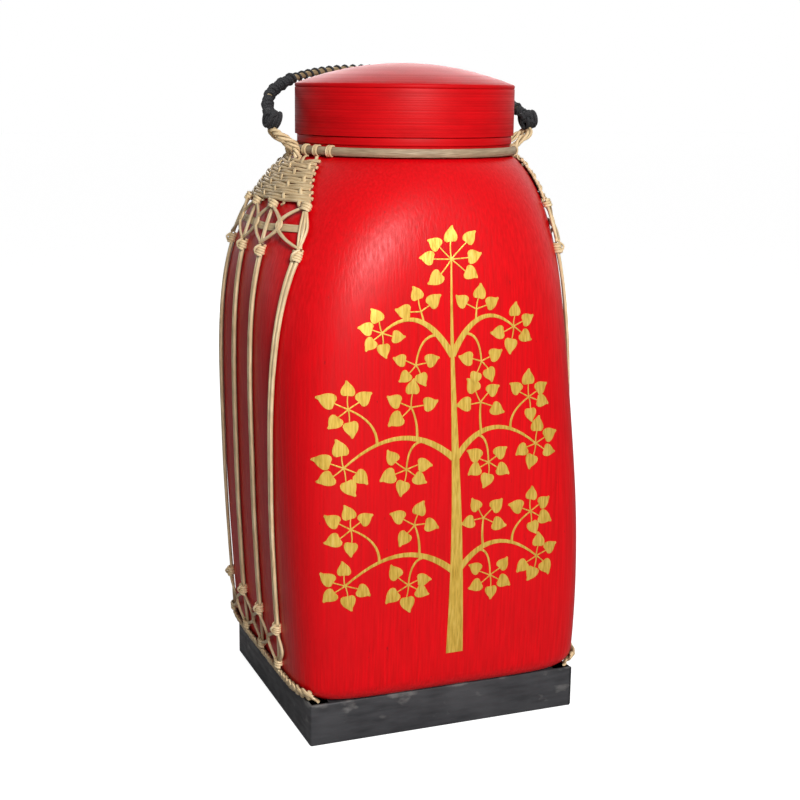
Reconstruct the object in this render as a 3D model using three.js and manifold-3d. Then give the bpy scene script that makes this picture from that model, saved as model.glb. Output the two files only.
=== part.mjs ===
// A lidded rice box: a lacquered bamboo vessel on a black wooden frame, laced with rattan on both
// narrow sides, with a lift-off lid and a stiff cord handle. Millimetres, +Z up, origin at the
// centre of the overall box on the floor. -Y is the front.
import * as THREE from 'three';
import { mergeVertices } from 'three/addons/utils/BufferGeometryUtils.js';
import Module from 'manifold-3d';

const wasm = await Module();
wasm.setup();

// Clearance between pieces that touch on the real object
const GAP = 0.3;
// Clearance between a rattan strand and the lacquer under it
const LAID_GAP = 0.45;

// Base frame
const BASE_WIDTH = 200;
const BASE_DEPTH = 183;
const BASE_HEIGHT = 30;
const BOARD_THICKNESS = 15;
// The belly leans left, so the base stands this far right of the overall box's centre
const BASE_SHIFT = 4.5;

// Body
const BODY_HEIGHT = 365.7;
const FOOT_HALF_WIDTH = 106;
const BELLY_HALF_WIDTH = 111.2;
const BELLY_HEIGHT = 145;
const NECK_RADIUS = 75;
const SHOULDER_HEIGHT = 75;
const SHOULDER_POWER = 5;
const SHOULDER_ROOT = 1.307;
const FOOT_SQUARENESS = 7.3;
const ROUNDING_RATE = 1.2;
const DEPTH_RATIO = 0.958;
const LEAN = 10;
const LEAN_RATE = 2;
const FOOT_ROUNDING = 14;
const WALL = 4.5;
const FLOOR_THICKNESS = 7;

// Neck collar and hoop
const COLLAR_BORE = 62;
const COLLAR_SPIGOT = 10;
const COLLAR_STEP_HEIGHT = 7.6;
const COLLAR_LIP_HEIGHT = 5.4;
const COLLAR_LIP_RADIUS = 75.5;
const HOOP_WIDTH = 4.4;
const HOOP_HEIGHT = 6;

// Lid
const LID_RADIUS = 77;
const LID_WALL = 5;
const LID_WALL_HEIGHT = 31.5;
const LID_RIM = 2.5;
const LID_DOME = 14.6;
const LID_PLUG_DEPTH = 11;
const LID_PLUG_FLANGE = 6;
const LID_PLUG_BORE = 56;
const LID_PLUG_CLEARANCE = 0.5;

// Rattan lacing
const WARPS = 4;
const WARP_SPACING_TOP = 40;
const WARP_SPACING_FOOT = 43;
const WARP_DRIFT_TOP = -12;
const WARP_DRIFT_FOOT = 14;
const WARP_WIDTH = 5.8;
const WARP_THICKNESS = 2.8;
const UPPER_KNOT_HEIGHT = 334;
const LOWER_KNOT_HEIGHT = 73;
const KNOT_LENGTH = 8;
const KNOT_RADIUS = 4.2;
const STRIP_HEIGHT = 350;
const STRIP_WIDTH = 5;
const STRIP_THICKNESS = 1.2;
const STRIP_REACH = 66;
const LACE_WIDTH = 2.8;
const LACE_THICKNESS = 2.2;
const LACE_TOP = 363;
const LACE_START = 2;
const UPPER_LACE_GATHER = 0.84;
const LOWER_LACE_GATHER = 0.94;
const UPPER_END_BOW = 0.2;
const LOWER_END_BOW = 0.45;
const LOWER_LACE_FOOT = 46;
const FAN_ROWS = 7;
const FAN_BOTTOM = 367.5;
const FAN_TOP = 390;
const FAN_REACH_TOP = 38;
const FAN_REACH_BOTTOM = 60;
const FAN_OVERLAP = 0.3;
const FAN_THICKNESS = 2.8;
const BAND_HEIGHT = 38;
const BAND_REACH = 90;
const BAND_STRAND = 3.6;
const BAND_SWING = 2.4;
const BAND_CROSSINGS = 8;
const EAR_STRAND = 4;
const EAR_SPAN = 18;
const EAR_OUT = 97;

// Handle
const HANDLE_DIAMETER = 6.4;
const HANDLE_REACH = 90;
const HANDLE_RISE = 11.7;
const HANDLE_LEAN = THREE.MathUtils.degToRad(68);
const HANDLE_KNOT_RADIUS = 7;
const HANDLE_KNOT_LENGTH = 13;

const bodyBottom = BASE_HEIGHT + GAP;
const bodyTop = bodyBottom + BODY_HEIGHT;
const bellyTop = bodyBottom + BELLY_HEIGHT;
const mouthRadius = NECK_RADIUS - WALL;
const collarSeat = bodyTop + GAP;
const collarStep = collarSeat + COLLAR_STEP_HEIGHT;
const collarTop = collarStep + COLLAR_LIP_HEIGHT;
const lidBottom = collarTop + GAP;
const lidWallTop = lidBottom + LID_WALL_HEIGHT;
const hoopCentre = collarSeat + GAP + HOOP_HEIGHT / 2;
const hoopRadius = NECK_RADIUS + GAP + HOOP_WIDTH / 2;
const handleAxisHeight = collarTop + HANDLE_RISE;
const ROUND = 32;

const lacquer = () => new THREE.MeshStandardMaterial({ color: 0xc8101a, roughness: 0.38, metalness: 0 });
const blackPaint = () => new THREE.MeshStandardMaterial({ color: 0x2c2c2e, roughness: 0.6, metalness: 0 });
const rattan = () => new THREE.MeshStandardMaterial({ color: 0xcdb083, roughness: 0.6, metalness: 0 });
const blackCord = () => new THREE.MeshStandardMaterial({ color: 0x17171a, roughness: 0.85, metalness: 0 });

const box = new THREE.Group();
box.position.x = BASE_SHIFT;

// Closed meshes

function closed(geometry) {
  const plain = new THREE.BufferGeometry();
  plain.setAttribute('position', geometry.getAttribute('position').clone());
  if (geometry.index) plain.setIndex(geometry.index.clone());
  const merged = mergeVertices(plain, 1e-3);
  const position = merged.getAttribute('position');
  const faces = [];
  let volume = 0;
  const corner = [new THREE.Vector3(), new THREE.Vector3(), new THREE.Vector3()];
  for (let i = 0; i < merged.index.count; i += 3) {
    const face = [0, 1, 2].map((k) => merged.index.getX(i + k));
    if (new Set(face).size < 3) continue;
    face.forEach((v, k) => corner[k].fromBufferAttribute(position, v));
    volume += corner[0].dot(corner[1].clone().cross(corner[2]));
    faces.push(face);
  }
  if (volume < 0) faces.forEach((face) => face.reverse());
  merged.setIndex(faces.flat());
  return merged;
}

function solid(geometry) {
  const tidy = closed(geometry);
  return new wasm.Manifold(new wasm.Mesh({
    numProp: 3,
    vertProperties: new Float32Array(tidy.getAttribute('position').array),
    triVerts: new Uint32Array(tidy.index.array),
  }));
}

function fuse(geometries) {
  const joined = geometries.map(solid).reduce((whole, piece) => whole.add(piece));
  const mesh = joined.getMesh();
  const geometry = new THREE.BufferGeometry();
  geometry.setAttribute('position', new THREE.BufferAttribute(mesh.vertProperties, 3));
  geometry.setIndex(new THREE.BufferAttribute(mesh.triVerts, 1));
  return geometry;
}

function add(name, geometry, material) {
  const mesh = new THREE.Mesh(closed(geometry), material);
  mesh.name = name;
  box.add(mesh);
}

// A revolve about the box's own upright axis, from a closed outline of radius and height pairs
function turned(outline) {
  const points = outline.map(([radius, height]) => new THREE.Vector2(radius, height));
  return new THREE.LatheGeometry(points, ROUND).rotateX(Math.PI / 2);
}

function ring(outline) {
  return turned([...outline, outline[0]]);
}

function ellipse(width, height, sides) {
  const shape = new THREE.Shape();
  for (let i = 0; i < sides; i += 1) {
    const angle = (2 * Math.PI * (i + 0.5)) / sides;
    const x = (width / 2) * (Math.cos(angle) / Math.cos(Math.PI / sides));
    const y = (height / 2) * (Math.sin(angle) / Math.cos(Math.PI / sides));
    if (i === 0) shape.moveTo(x, y);
    else shape.lineTo(x, y);
  }
  shape.closePath();
  return shape;
}

// The body's level section: square at the foot, a circle at the neck, with the belly leaning left

function section(height) {
  const rise = THREE.MathUtils.clamp((height - bodyBottom) / BODY_HEIGHT, 0, 1);
  let halfWidth;
  if (height > bellyTop) {
    const up = Math.min((height - bellyTop) / (bodyTop - bellyTop), 1);
    const fullness = (1 - up ** SHOULDER_POWER) ** (1 / SHOULDER_ROOT);
    halfWidth = NECK_RADIUS + (BELLY_HALF_WIDTH - NECK_RADIUS) * fullness;
  } else {
    const down = (bellyTop - height) / BELLY_HEIGHT;
    halfWidth = BELLY_HALF_WIDTH - (BELLY_HALF_WIDTH - FOOT_HALF_WIDTH) * down ** 2;
  }
  const below = THREE.MathUtils.clamp((bodyBottom + FOOT_ROUNDING - height) / FOOT_ROUNDING, 0, 1);
  const inset = FOOT_ROUNDING * (1 - Math.sqrt(1 - below ** 2));
  return {
    halfWidth: halfWidth - inset,
    halfDepth: halfWidth * (DEPTH_RATIO + (1 - DEPTH_RATIO) * rise ** 4) - inset,
    power: 2 + (FOOT_SQUARENESS - 2) * (1 - rise ** ROUNDING_RATE),
    centre: -LEAN * Math.sin(Math.PI * rise ** LEAN_RATE),
  };
}

function pressedRadius(angle, height, inset) {
  const { halfWidth, halfDepth, power } = section(height);
  const across = Math.abs(Math.cos(angle) / (halfWidth - inset)) ** power;
  const along = Math.abs(Math.sin(angle) / (halfDepth - inset)) ** power;
  return (across + along) ** (-1 / power);
}

// A unit revolve pressed to the body's sections: each outline point is [share of radius, inset, height]
function pressed(outline) {
  const unit = new THREE.LatheGeometry(
    outline.map(([share, , height]) => new THREE.Vector2(share, height)), ROUND,
  ).rotateX(Math.PI / 2);
  const position = unit.getAttribute('position');
  for (let i = 0; i < position.count; i += 1) {
    const [share, inset, height] = outline[i % outline.length];
    const angle = (2 * Math.PI * (Math.floor(i / outline.length) % ROUND)) / ROUND;
    const radius = share * pressedRadius(angle, height, inset);
    position.setXYZ(i, radius * Math.cos(angle) + section(height).centre, radius * Math.sin(angle), height);
  }
  return unit;
}

function makeBody() {
  const outer = [[0, 0, bodyBottom], [1, 0, bodyBottom + 0.01]];
  for (const turn of [0.35, 0.65, 1]) {
    outer.push([1, 0, bodyBottom + FOOT_ROUNDING * (1 - Math.cos((turn * Math.PI) / 2))]);
  }
  outer[0][2] = outer[1][2];
  const sideSteps = 9;
  const foot = bodyBottom + FOOT_ROUNDING;
  const shoulder = bodyTop - SHOULDER_HEIGHT;
  for (let i = 1; i <= sideSteps; i += 1) outer.push([1, 0, foot + ((shoulder - foot) * i) / sideSteps]);
  for (const up of [0.35, 0.6, 0.78, 0.9, 0.97, 1]) outer.push([1, 0, shoulder + (bodyTop - shoulder) * up]);
  const inner = [];
  const floor = bodyBottom + FLOOR_THICKNESS;
  for (const down of [0, 0.04, 0.1, 0.2, 0.4, 0.7, 0.92]) {
    inner.push([1, WALL, bodyTop - (bodyTop - floor) * down]);
  }
  inner.push([0.93, WALL, floor], [0, WALL, floor]);
  add('body_shell', pressed([...outer, ...inner]), lacquer());
}

// Base frame: four boards with mitred ends

function makeBase() {
  const sides = [
    ['base_front_board', BASE_WIDTH, BASE_DEPTH, 0], ['base_right_board', BASE_DEPTH, BASE_WIDTH, 1],
    ['base_back_board', BASE_WIDTH, BASE_DEPTH, 2], ['base_left_board', BASE_DEPTH, BASE_WIDTH, 3],
  ];
  for (const [name, length, across, quarter] of sides) {
    const half = length / 2 - GAP;
    const shape = new THREE.Shape([
      new THREE.Vector2(-half, -across / 2), new THREE.Vector2(half, -across / 2),
      new THREE.Vector2(half - BOARD_THICKNESS, BOARD_THICKNESS - across / 2),
      new THREE.Vector2(BOARD_THICKNESS - half, BOARD_THICKNESS - across / 2),
    ]);
    const board = new THREE.ExtrudeGeometry(shape, { depth: BASE_HEIGHT, bevelEnabled: false });
    add(name, board.rotateZ((quarter * Math.PI) / 2), blackPaint());
  }
}

// Neck and lid

function makeNeck() {
  const stepRadius = NECK_RADIUS - 0.4;
  add('neck_collar', ring([
    [COLLAR_BORE, collarSeat - COLLAR_SPIGOT], [mouthRadius - GAP, collarSeat - COLLAR_SPIGOT],
    [mouthRadius - GAP, collarSeat], [stepRadius, collarSeat], [stepRadius, collarStep],
    [COLLAR_LIP_RADIUS, collarStep], [COLLAR_LIP_RADIUS, collarTop], [COLLAR_BORE, collarTop],
  ]), lacquer());
  const outline = [];
  for (let i = 0; i < 6; i += 1) {
    const angle = (Math.PI * i) / 3;
    outline.push([
      hoopRadius + (HOOP_WIDTH / 2) * Math.cos(angle), hoopCentre + (HOOP_HEIGHT / 2) * Math.sin(angle),
    ]);
  }
  add('neck_hoop', ring(outline), rattan());
}

function makeLid() {
  const inner = LID_RADIUS - LID_WALL;
  add('lid_wall', ring([
    [inner, lidBottom], [LID_RADIUS, lidBottom], [LID_RADIUS, lidWallTop], [inner, lidWallTop],
  ]), lacquer());
  const domeBottom = lidWallTop + GAP;
  const domeRim = domeBottom + LID_RIM;
  const dome = [[0, domeBottom + LID_DOME / 2], [LID_RADIUS * 0.55, domeBottom + LID_DOME / 3]];
  dome.push([inner - LID_RIM, domeBottom], [LID_RADIUS, domeBottom], [LID_RADIUS, domeRim]);
  for (const share of [0.85, 0.62, 0.36, 0.14]) {
    dome.push([LID_RADIUS * share, domeRim + LID_DOME * (1 - share ** 2)]);
  }
  dome.push([0, domeRim + LID_DOME]);
  add('lid_domed_top', turned(dome), lacquer());
  const plug = COLLAR_BORE - LID_PLUG_CLEARANCE;
  const flangeTop = lidBottom + LID_PLUG_FLANGE;
  add('lid_locating_ring', ring([
    [LID_PLUG_BORE, lidBottom - LID_PLUG_DEPTH], [plug, lidBottom - LID_PLUG_DEPTH], [plug, lidBottom],
    [inner - GAP, lidBottom], [inner - GAP, flangeTop], [LID_PLUG_BORE, flangeTop],
  ]), lacquer());
}

// Rattan, laid on the body's narrow sides. A side is -1 for left and 1 for right.

function onBody(side, depth, height) {
  const { halfWidth, halfDepth, power, centre } = section(height);
  const share = Math.min(Math.abs(depth) / halfDepth, 0.999);
  return new THREE.Vector3(centre + side * halfWidth * (1 - share ** power) ** (1 / power), depth, height);
}

function outwards(side, depth, height) {
  const step = 0.5;
  const alongDepth = onBody(side, depth + step, height).sub(onBody(side, depth - step, height));
  const alongHeight = onBody(side, depth, height + step).sub(onBody(side, depth, height - step));
  const normal = alongDepth.cross(alongHeight).normalize();
  return normal.x * side < 0 ? normal.negate() : normal;
}

// A strand's route over the body: depth and height points, lifted off the lacquer by a distance
class LaidCurve extends THREE.Curve {
  constructor(side, points, lift) {
    super();
    this.side = side;
    this.lift = lift;
    this.route = new THREE.CatmullRomCurve3(points.map(([depth, height]) => new THREE.Vector3(0, depth, height)));
  }

  getPoint(t) {
    const { y, z } = this.route.getPoint(t);
    return onBody(this.side, y, z).addScaledVector(outwards(this.side, y, z), this.lift);
  }

  computeFrenetFrames(segments) {
    const frames = { tangents: [], normals: [], binormals: [] };
    for (let i = 0; i <= segments; i += 1) {
      const { y, z } = this.route.getPoint(this.getUtoTmapping(i / segments));
      const tangent = this.getTangentAt(i / segments);
      const normal = outwards(this.side, y, z);
      normal.addScaledVector(tangent, -normal.dot(tangent)).normalize();
      frames.tangents.push(tangent);
      frames.normals.push(normal);
      frames.binormals.push(tangent.clone().cross(normal));
    }
    return frames;
  }
}

function strand(side, points, lift, thickness, width, sides, steps) {
  return new THREE.ExtrudeGeometry(ellipse(thickness, width, sides), {
    steps, extrudePath: new LaidCurve(side, points, lift + thickness / 2), bevelEnabled: false,
  });
}

function warpDepth(index, height) {
  const share = THREE.MathUtils.smoothstep(height, LOWER_KNOT_HEIGHT, UPPER_KNOT_HEIGHT);
  const spacing = THREE.MathUtils.lerp(WARP_SPACING_FOOT, WARP_SPACING_TOP, share);
  const drift = THREE.MathUtils.lerp(WARP_DRIFT_FOOT, WARP_DRIFT_TOP, share);
  return drift + spacing * (index - (WARPS - 1) / 2);
}

function makeWarps(side, word) {
  const top = UPPER_KNOT_HEIGHT - KNOT_LENGTH / 2 - 2 * GAP;
  const foot = LOWER_KNOT_HEIGHT + KNOT_LENGTH / 2 + 2 * GAP;
  for (let index = 0; index < WARPS; index += 1) {
    const points = [0, 0.25, 0.5, 0.75, 1].map((share) => {
      const height = foot + (top - foot) * share;
      return [warpDepth(index, height), height];
    });
    add(`warp_${word}_${index + 1}`, strand(side, points, LAID_GAP, WARP_THICKNESS, WARP_WIDTH, 6, 10), rattan());
    for (const [place, height] of [['upper', UPPER_KNOT_HEIGHT], ['lower', LOWER_KNOT_HEIGHT]]) {
      const turnedKnot = new THREE.LatheGeometry([
        [0, -0.5], [0.62, -0.5], [1, -0.2], [0.8, 0], [1, 0.2], [0.62, 0.5], [0, 0.5],
      ].map(([radius, along]) => new THREE.Vector2(radius * KNOT_RADIUS, along * KNOT_LENGTH)), 7);
      const depth = warpDepth(index, height);
      const normal = outwards(side, depth, height);
      const upright = new THREE.Vector3(0, 0, 1).addScaledVector(normal, -normal.z).normalize();
      const frame = new THREE.Matrix4().makeBasis(upright.clone().cross(normal), upright, normal);
      turnedKnot.scale(1, 1, 0.8).applyMatrix4(frame);
      const seat = onBody(side, depth, height).addScaledVector(normal, LAID_GAP + 0.8 * KNOT_RADIUS);
      add(`${place}_knot_${word}_${index + 1}`, turnedKnot.translate(seat.x, seat.y, seat.z), rattan());
    }
  }
}

// Crossed lacing: from each warp a straight strand and two bows, which meet the next warp's bows
function makeLacing(side, word, place, start, end, lift, gather, endBow) {
  const strands = [];
  const middle = (start + end) / 2;
  const half = (warpDepth(1, start) - warpDepth(0, start)) / 2;
  for (let index = 0; index < WARPS; index += 1) {
    const near = warpDepth(index, start);
    const far = near * gather;
    strands.push(strand(side, [[near, start], [(near + far) / 2, middle], [far, end]], lift,
      LACE_THICKNESS, LACE_WIDTH, 4, 2));
    for (const way of [-1, 1]) {
      const outer = (index === 0 && way < 0) || (index === WARPS - 1 && way > 0);
      const reach = outer ? half * endBow : half + LACE_WIDTH / 2;
      const bow = [[near, start], [near + way * reach * 0.62, (start + middle) / 2],
        [near + way * reach, middle], [near + way * reach * 0.62, (middle + end) / 2], [far, end]];
      strands.push(strand(side, bow, lift, LACE_THICKNESS, LACE_WIDTH, 4, 6));
    }
  }
  add(`${place}_lacing_${word}`, fuse(strands), rattan());
}

function makeStrip(side, word) {
  const points = [-1, -0.6, -0.2, 0.2, 0.6, 0.9].map((share) => [share * STRIP_REACH, STRIP_HEIGHT]);
  add(`cross_strip_${word}`, strand(side, points, LAID_GAP, STRIP_THICKNESS, STRIP_WIDTH, 4, 8), rattan());
}

function fanHeight(row) {
  return THREE.MathUtils.lerp(FAN_BOTTOM, FAN_TOP, row / (FAN_ROWS - 1));
}

// The rows are as wide as the widest step between two of them, and a little more, so that they hold together
function fanStrand(side) {
  let widest = 0;
  for (let row = 1; row < FAN_ROWS; row += 1) {
    const lower = onBody(side, 0, fanHeight(row - 1));
    widest = Math.max(widest, lower.distanceTo(onBody(side, 0, fanHeight(row))));
  }
  return widest + FAN_OVERLAP;
}

function makeFan(side, word) {
  const rows = [];
  const width = fanStrand(side);
  for (let row = 0; row < FAN_ROWS; row += 1) {
    const height = fanHeight(row);
    const reach = THREE.MathUtils.lerp(FAN_REACH_BOTTOM, FAN_REACH_TOP, row / (FAN_ROWS - 1));
    const points = [-1, -0.5, 0, 0.5, 1].map((place) => [place * reach, height]);
    rows.push(strand(side, points, LAID_GAP, FAN_THICKNESS, width, 4, 6));
  }
  add(`fan_weave_${word}`, fuse(rows), rattan());
}

function makeBand(side, word) {
  const plies = [-1, 1].map((start) => {
    const points = [];
    for (let i = 0; i <= BAND_CROSSINGS * 2; i += 1) {
      const depth = BAND_REACH * (i / BAND_CROSSINGS - 1);
      points.push([depth, BAND_HEIGHT + start * BAND_SWING * Math.cos((Math.PI * i) / 2)]);
    }
    return strand(side, points, LAID_GAP, BAND_STRAND, BAND_STRAND + 1, 4, 22);
  });
  add(`plaited_band_${word}`, fuse(plies), rattan());
}

function makeEar(side, word) {
  const half = EAR_SPAN / 2;
  const top = handleAxisHeight - HANDLE_KNOT_RADIUS - GAP - EAR_STRAND / 2;
  const foot = hoopRadius + HOOP_WIDTH / 2 + GAP + (EAR_STRAND / 2) / Math.cos(Math.PI / 6);
  const leg = [[foot, half, hoopCentre - HOOP_HEIGHT / 2 - 1.5], [foot + 1.5, half, hoopCentre + 3],
    [EAR_OUT - 3, half - 2, top - 3]];
  const route = [...leg, [EAR_OUT, 0, top], ...leg.toReversed().map(([x, y, z]) => [x, -y, z])];
  const path = new THREE.CatmullRomCurve3(route.map(([x, y, z]) => new THREE.Vector3(side * x, y, z)));
  add(`ear_loop_${word}`, new THREE.ExtrudeGeometry(ellipse(EAR_STRAND, EAR_STRAND, 6), {
    steps: 14, extrudePath: path, bevelEnabled: false,
  }), rattan());
}

// Handle: an arch that leans back behind the lid and swings over it on the two ears

class HandleArch extends THREE.Curve {
  getPoint(t) {
    const start = Math.asin((HANDLE_KNOT_RADIUS + GAP + 0.2) / HANDLE_REACH);
    const angle = start + (Math.PI - 2 * start) * t;
    const out = HANDLE_REACH * Math.sin(angle);
    return new THREE.Vector3(
      -EAR_OUT * Math.cos(angle), out * Math.sin(HANDLE_LEAN), handleAxisHeight + out * Math.cos(HANDLE_LEAN),
    );
  }
}

function makeHandle() {
  add('handle_cord', new THREE.ExtrudeGeometry(ellipse(HANDLE_DIAMETER, HANDLE_DIAMETER, 8), {
    steps: 24, extrudePath: new HandleArch(), bevelEnabled: false,
  }), blackCord());
  for (const [side, word] of [[-1, 'left'], [1, 'right']]) {
    const knot = new THREE.LatheGeometry([
      [0, -0.5], [0.6, -0.5], [0.95, -0.3], [0.82, -0.1], [1, 0.1], [0.85, 0.32], [0.5, 0.5], [0, 0.5],
    ].map(([radius, along]) => new THREE.Vector2(radius * HANDLE_KNOT_RADIUS, along * HANDLE_KNOT_LENGTH)), 10);
    knot.rotateZ((-side * Math.PI) / 2).translate(side * EAR_OUT, 0, handleAxisHeight);
    add(`handle_knot_${word}`, knot, blackCord());
  }
}

makeBase();
makeBody();
makeNeck();
makeLid();
for (const [side, word] of [[-1, 'left'], [1, 'right']]) {
  makeWarps(side, word);
  makeStrip(side, word);
  makeLacing(side, word, 'upper', UPPER_KNOT_HEIGHT + KNOT_LENGTH / 2 + LACE_START, LACE_TOP,
    LAID_GAP + GAP + STRIP_THICKNESS, UPPER_LACE_GATHER, UPPER_END_BOW);
  makeLacing(side, word, 'lower', LOWER_KNOT_HEIGHT - KNOT_LENGTH / 2 - LACE_START, LOWER_LACE_FOOT,
    LAID_GAP, LOWER_LACE_GATHER, LOWER_END_BOW);
  makeFan(side, word);
  makeBand(side, word);
  makeEar(side, word);
}
makeHandle();

export default box;
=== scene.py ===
# %% [markdown]
# # A lidded rice box in red lacquer, black wood and rattan
# The box is a lacquered vessel that starts square on a black wooden base and ends round at the
# neck. A lid sits on the neck, rattan canes are laced down both narrow sides, and a stiff bound
# handle swings over the lid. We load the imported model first, because every piece of ours stands
# where one of its pieces stands.

# %% Load the frame
import math
import random
import bmesh
import bpy
from mathutils import Matrix, Vector


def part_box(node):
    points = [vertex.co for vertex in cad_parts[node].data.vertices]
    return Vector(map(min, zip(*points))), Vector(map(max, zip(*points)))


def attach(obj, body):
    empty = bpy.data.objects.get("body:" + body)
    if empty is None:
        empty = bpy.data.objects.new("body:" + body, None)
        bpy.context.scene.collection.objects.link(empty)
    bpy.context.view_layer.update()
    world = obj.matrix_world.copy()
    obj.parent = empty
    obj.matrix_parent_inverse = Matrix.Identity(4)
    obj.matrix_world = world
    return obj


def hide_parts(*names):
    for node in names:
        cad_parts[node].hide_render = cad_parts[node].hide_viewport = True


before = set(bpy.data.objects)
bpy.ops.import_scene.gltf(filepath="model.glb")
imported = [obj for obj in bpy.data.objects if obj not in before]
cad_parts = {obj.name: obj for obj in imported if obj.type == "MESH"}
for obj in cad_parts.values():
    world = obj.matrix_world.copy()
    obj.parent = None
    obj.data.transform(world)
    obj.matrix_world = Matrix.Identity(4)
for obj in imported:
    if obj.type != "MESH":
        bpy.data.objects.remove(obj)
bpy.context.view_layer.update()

MM = 0.001
SIDES = ((-1, "left"), (1, "right"))

# %% [markdown]
# ## The camera
# The photograph looks down a little at the box's front left corner. We could drag a camera until
# it looks right, but the base's corners and the lid's rims give the place and the turn exactly, so
# we build the camera's axes from three angles.

# %% Place the camera
CAMERA_PLACE = Vector((-378.42, -957.54, 442.92)) * MM
CAMERA_TURN = math.radians(-21.762)
CAMERA_PITCH = math.radians(12.3435)
CAMERA_ROLL = math.radians(0.712)
LENS = 64.65

def place_camera():
    ahead = Vector((-math.sin(CAMERA_TURN) * math.cos(CAMERA_PITCH),
                    math.cos(CAMERA_TURN) * math.cos(CAMERA_PITCH), -math.sin(CAMERA_PITCH)))
    level = Vector((math.cos(CAMERA_TURN), math.sin(CAMERA_TURN), 0))
    above = level.cross(ahead)
    right = level * math.cos(CAMERA_ROLL) + above * math.sin(CAMERA_ROLL)
    up = above * math.cos(CAMERA_ROLL) - level * math.sin(CAMERA_ROLL)
    data = bpy.data.cameras.new("camera")
    data.sensor_width = 36
    data.lens = LENS
    camera = bpy.data.objects.new("camera", data)
    bpy.context.scene.collection.objects.link(camera)
    turn = Matrix((right, up, -ahead)).transposed().to_4x4()
    camera.matrix_world = Matrix.Translation(CAMERA_PLACE) @ turn
    bpy.context.scene.camera = camera
    return camera

print("camera at", place_camera().matrix_world.translation[:])

# %% [markdown]
# ## A few helpers for finishes
# A finish is a tree of nodes. Writing each node by hand takes three lines, so one small function
# makes a node, sets its values and links what comes from another node.

# %% Node helpers
def node(tree, kind, inputs=None, **settings):
    made = tree.nodes.new(kind)
    for key, value in settings.items():
        setattr(made, key, value)
    for key, value in (inputs or {}).items():
        if isinstance(value, bpy.types.NodeSocket):
            tree.links.new(value, made.inputs[key])
        else:
            made.inputs[key].default_value = value
    return made

def shades(tree, factor, stops):
    ramp = node(tree, "ShaderNodeValToRGB", {"Fac": factor})
    ramp.color_ramp.elements[0].position = stops[0][0]
    ramp.color_ramp.elements[0].color = (*stops[0][1], 1)
    ramp.color_ramp.elements[1].position = stops[-1][0]
    ramp.color_ramp.elements[1].color = (*stops[-1][1], 1)
    for position, colour in stops[1:-1]:
        ramp.color_ramp.elements.new(position).color = (*colour, 1)
    return ramp.outputs["Color"]

def new_finish(name):
    material = bpy.data.materials.new(name)
    material.use_nodes = True
    tree = material.node_tree
    shader = tree.nodes["Principled BSDF"]
    return material, tree, shader

def mixed(tree, factor, first, second, blend="MIX"):
    return node(tree, "ShaderNodeMix", {0: factor, 6: first, 7: second},
                data_type="RGBA", blend_type=blend).outputs[2]

def scaled_noise(tree, vector, stretch, scale, detail=3):
    stretched = node(tree, "ShaderNodeMapping", {"Vector": vector, "Scale": stretch}).outputs["Vector"]
    noise = node(tree, "ShaderNodeTexNoise", {"Vector": stretched, "Scale": scale, "Detail": detail})
    return noise.outputs["Fac"]

def remapped(tree, value, low, high, to_low=0.0, to_high=1.0):
    return node(tree, "ShaderNodeMapRange", {"Value": value, "From Min": low, "From Max": high,
                                             "To Min": to_low, "To Max": to_high}).outputs["Result"]

print("node helpers ready")

# %% [markdown]
# ## Red lacquer
# The body is bamboo under lacquer, and the splints still show as fine upright streaks in the gloss.
# A photograph could carry them, but a noise that is squeezed along the height gives the same
# streaks on every side and never repeats.

# %% Body lacquer
BOX_CENTRE = 4.5 * MM

def make_body_lacquer():
    material, tree, shader = new_finish("red_lacquer")
    place = node(tree, "ShaderNodeTexCoord").outputs["Object"]
    streaks = scaled_noise(tree, place, (1, 1, 0.03), 620, 4)
    clouds = scaled_noise(tree, place, (1, 1, 0.6), 16, 3)
    specks = scaled_noise(tree, place, (1, 1, 0.35), 420, 2)
    red = shades(tree, streaks, [(0.3, (0.56, 0.0006, 0.0025)), (0.7, (0.75, 0.001, 0.005))])
    cloudy = mixed(tree, remapped(tree, clouds, 0.35, 0.75, 0.0, 0.5), red, (0.56, 0.001, 0.005, 1))
    worn = mixed(tree, remapped(tree, specks, 0.72, 0.8, 0.0, 0.55), cloudy, (0.16, 0.004, 0.006, 1))
    tree.links.new(worn, shader.inputs["Base Color"])
    tree.links.new(remapped(tree, streaks, 0.3, 0.7, 0.46, 0.34), shader.inputs["Roughness"])
    bump = node(tree, "ShaderNodeBump", {"Height": streaks, "Strength": 0.28, "Distance": 0.0006})
    tree.links.new(bump.outputs["Normal"], shader.inputs["Normal"])
    shader.inputs["Specular IOR Level"].default_value = 0.2
    return material

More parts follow.
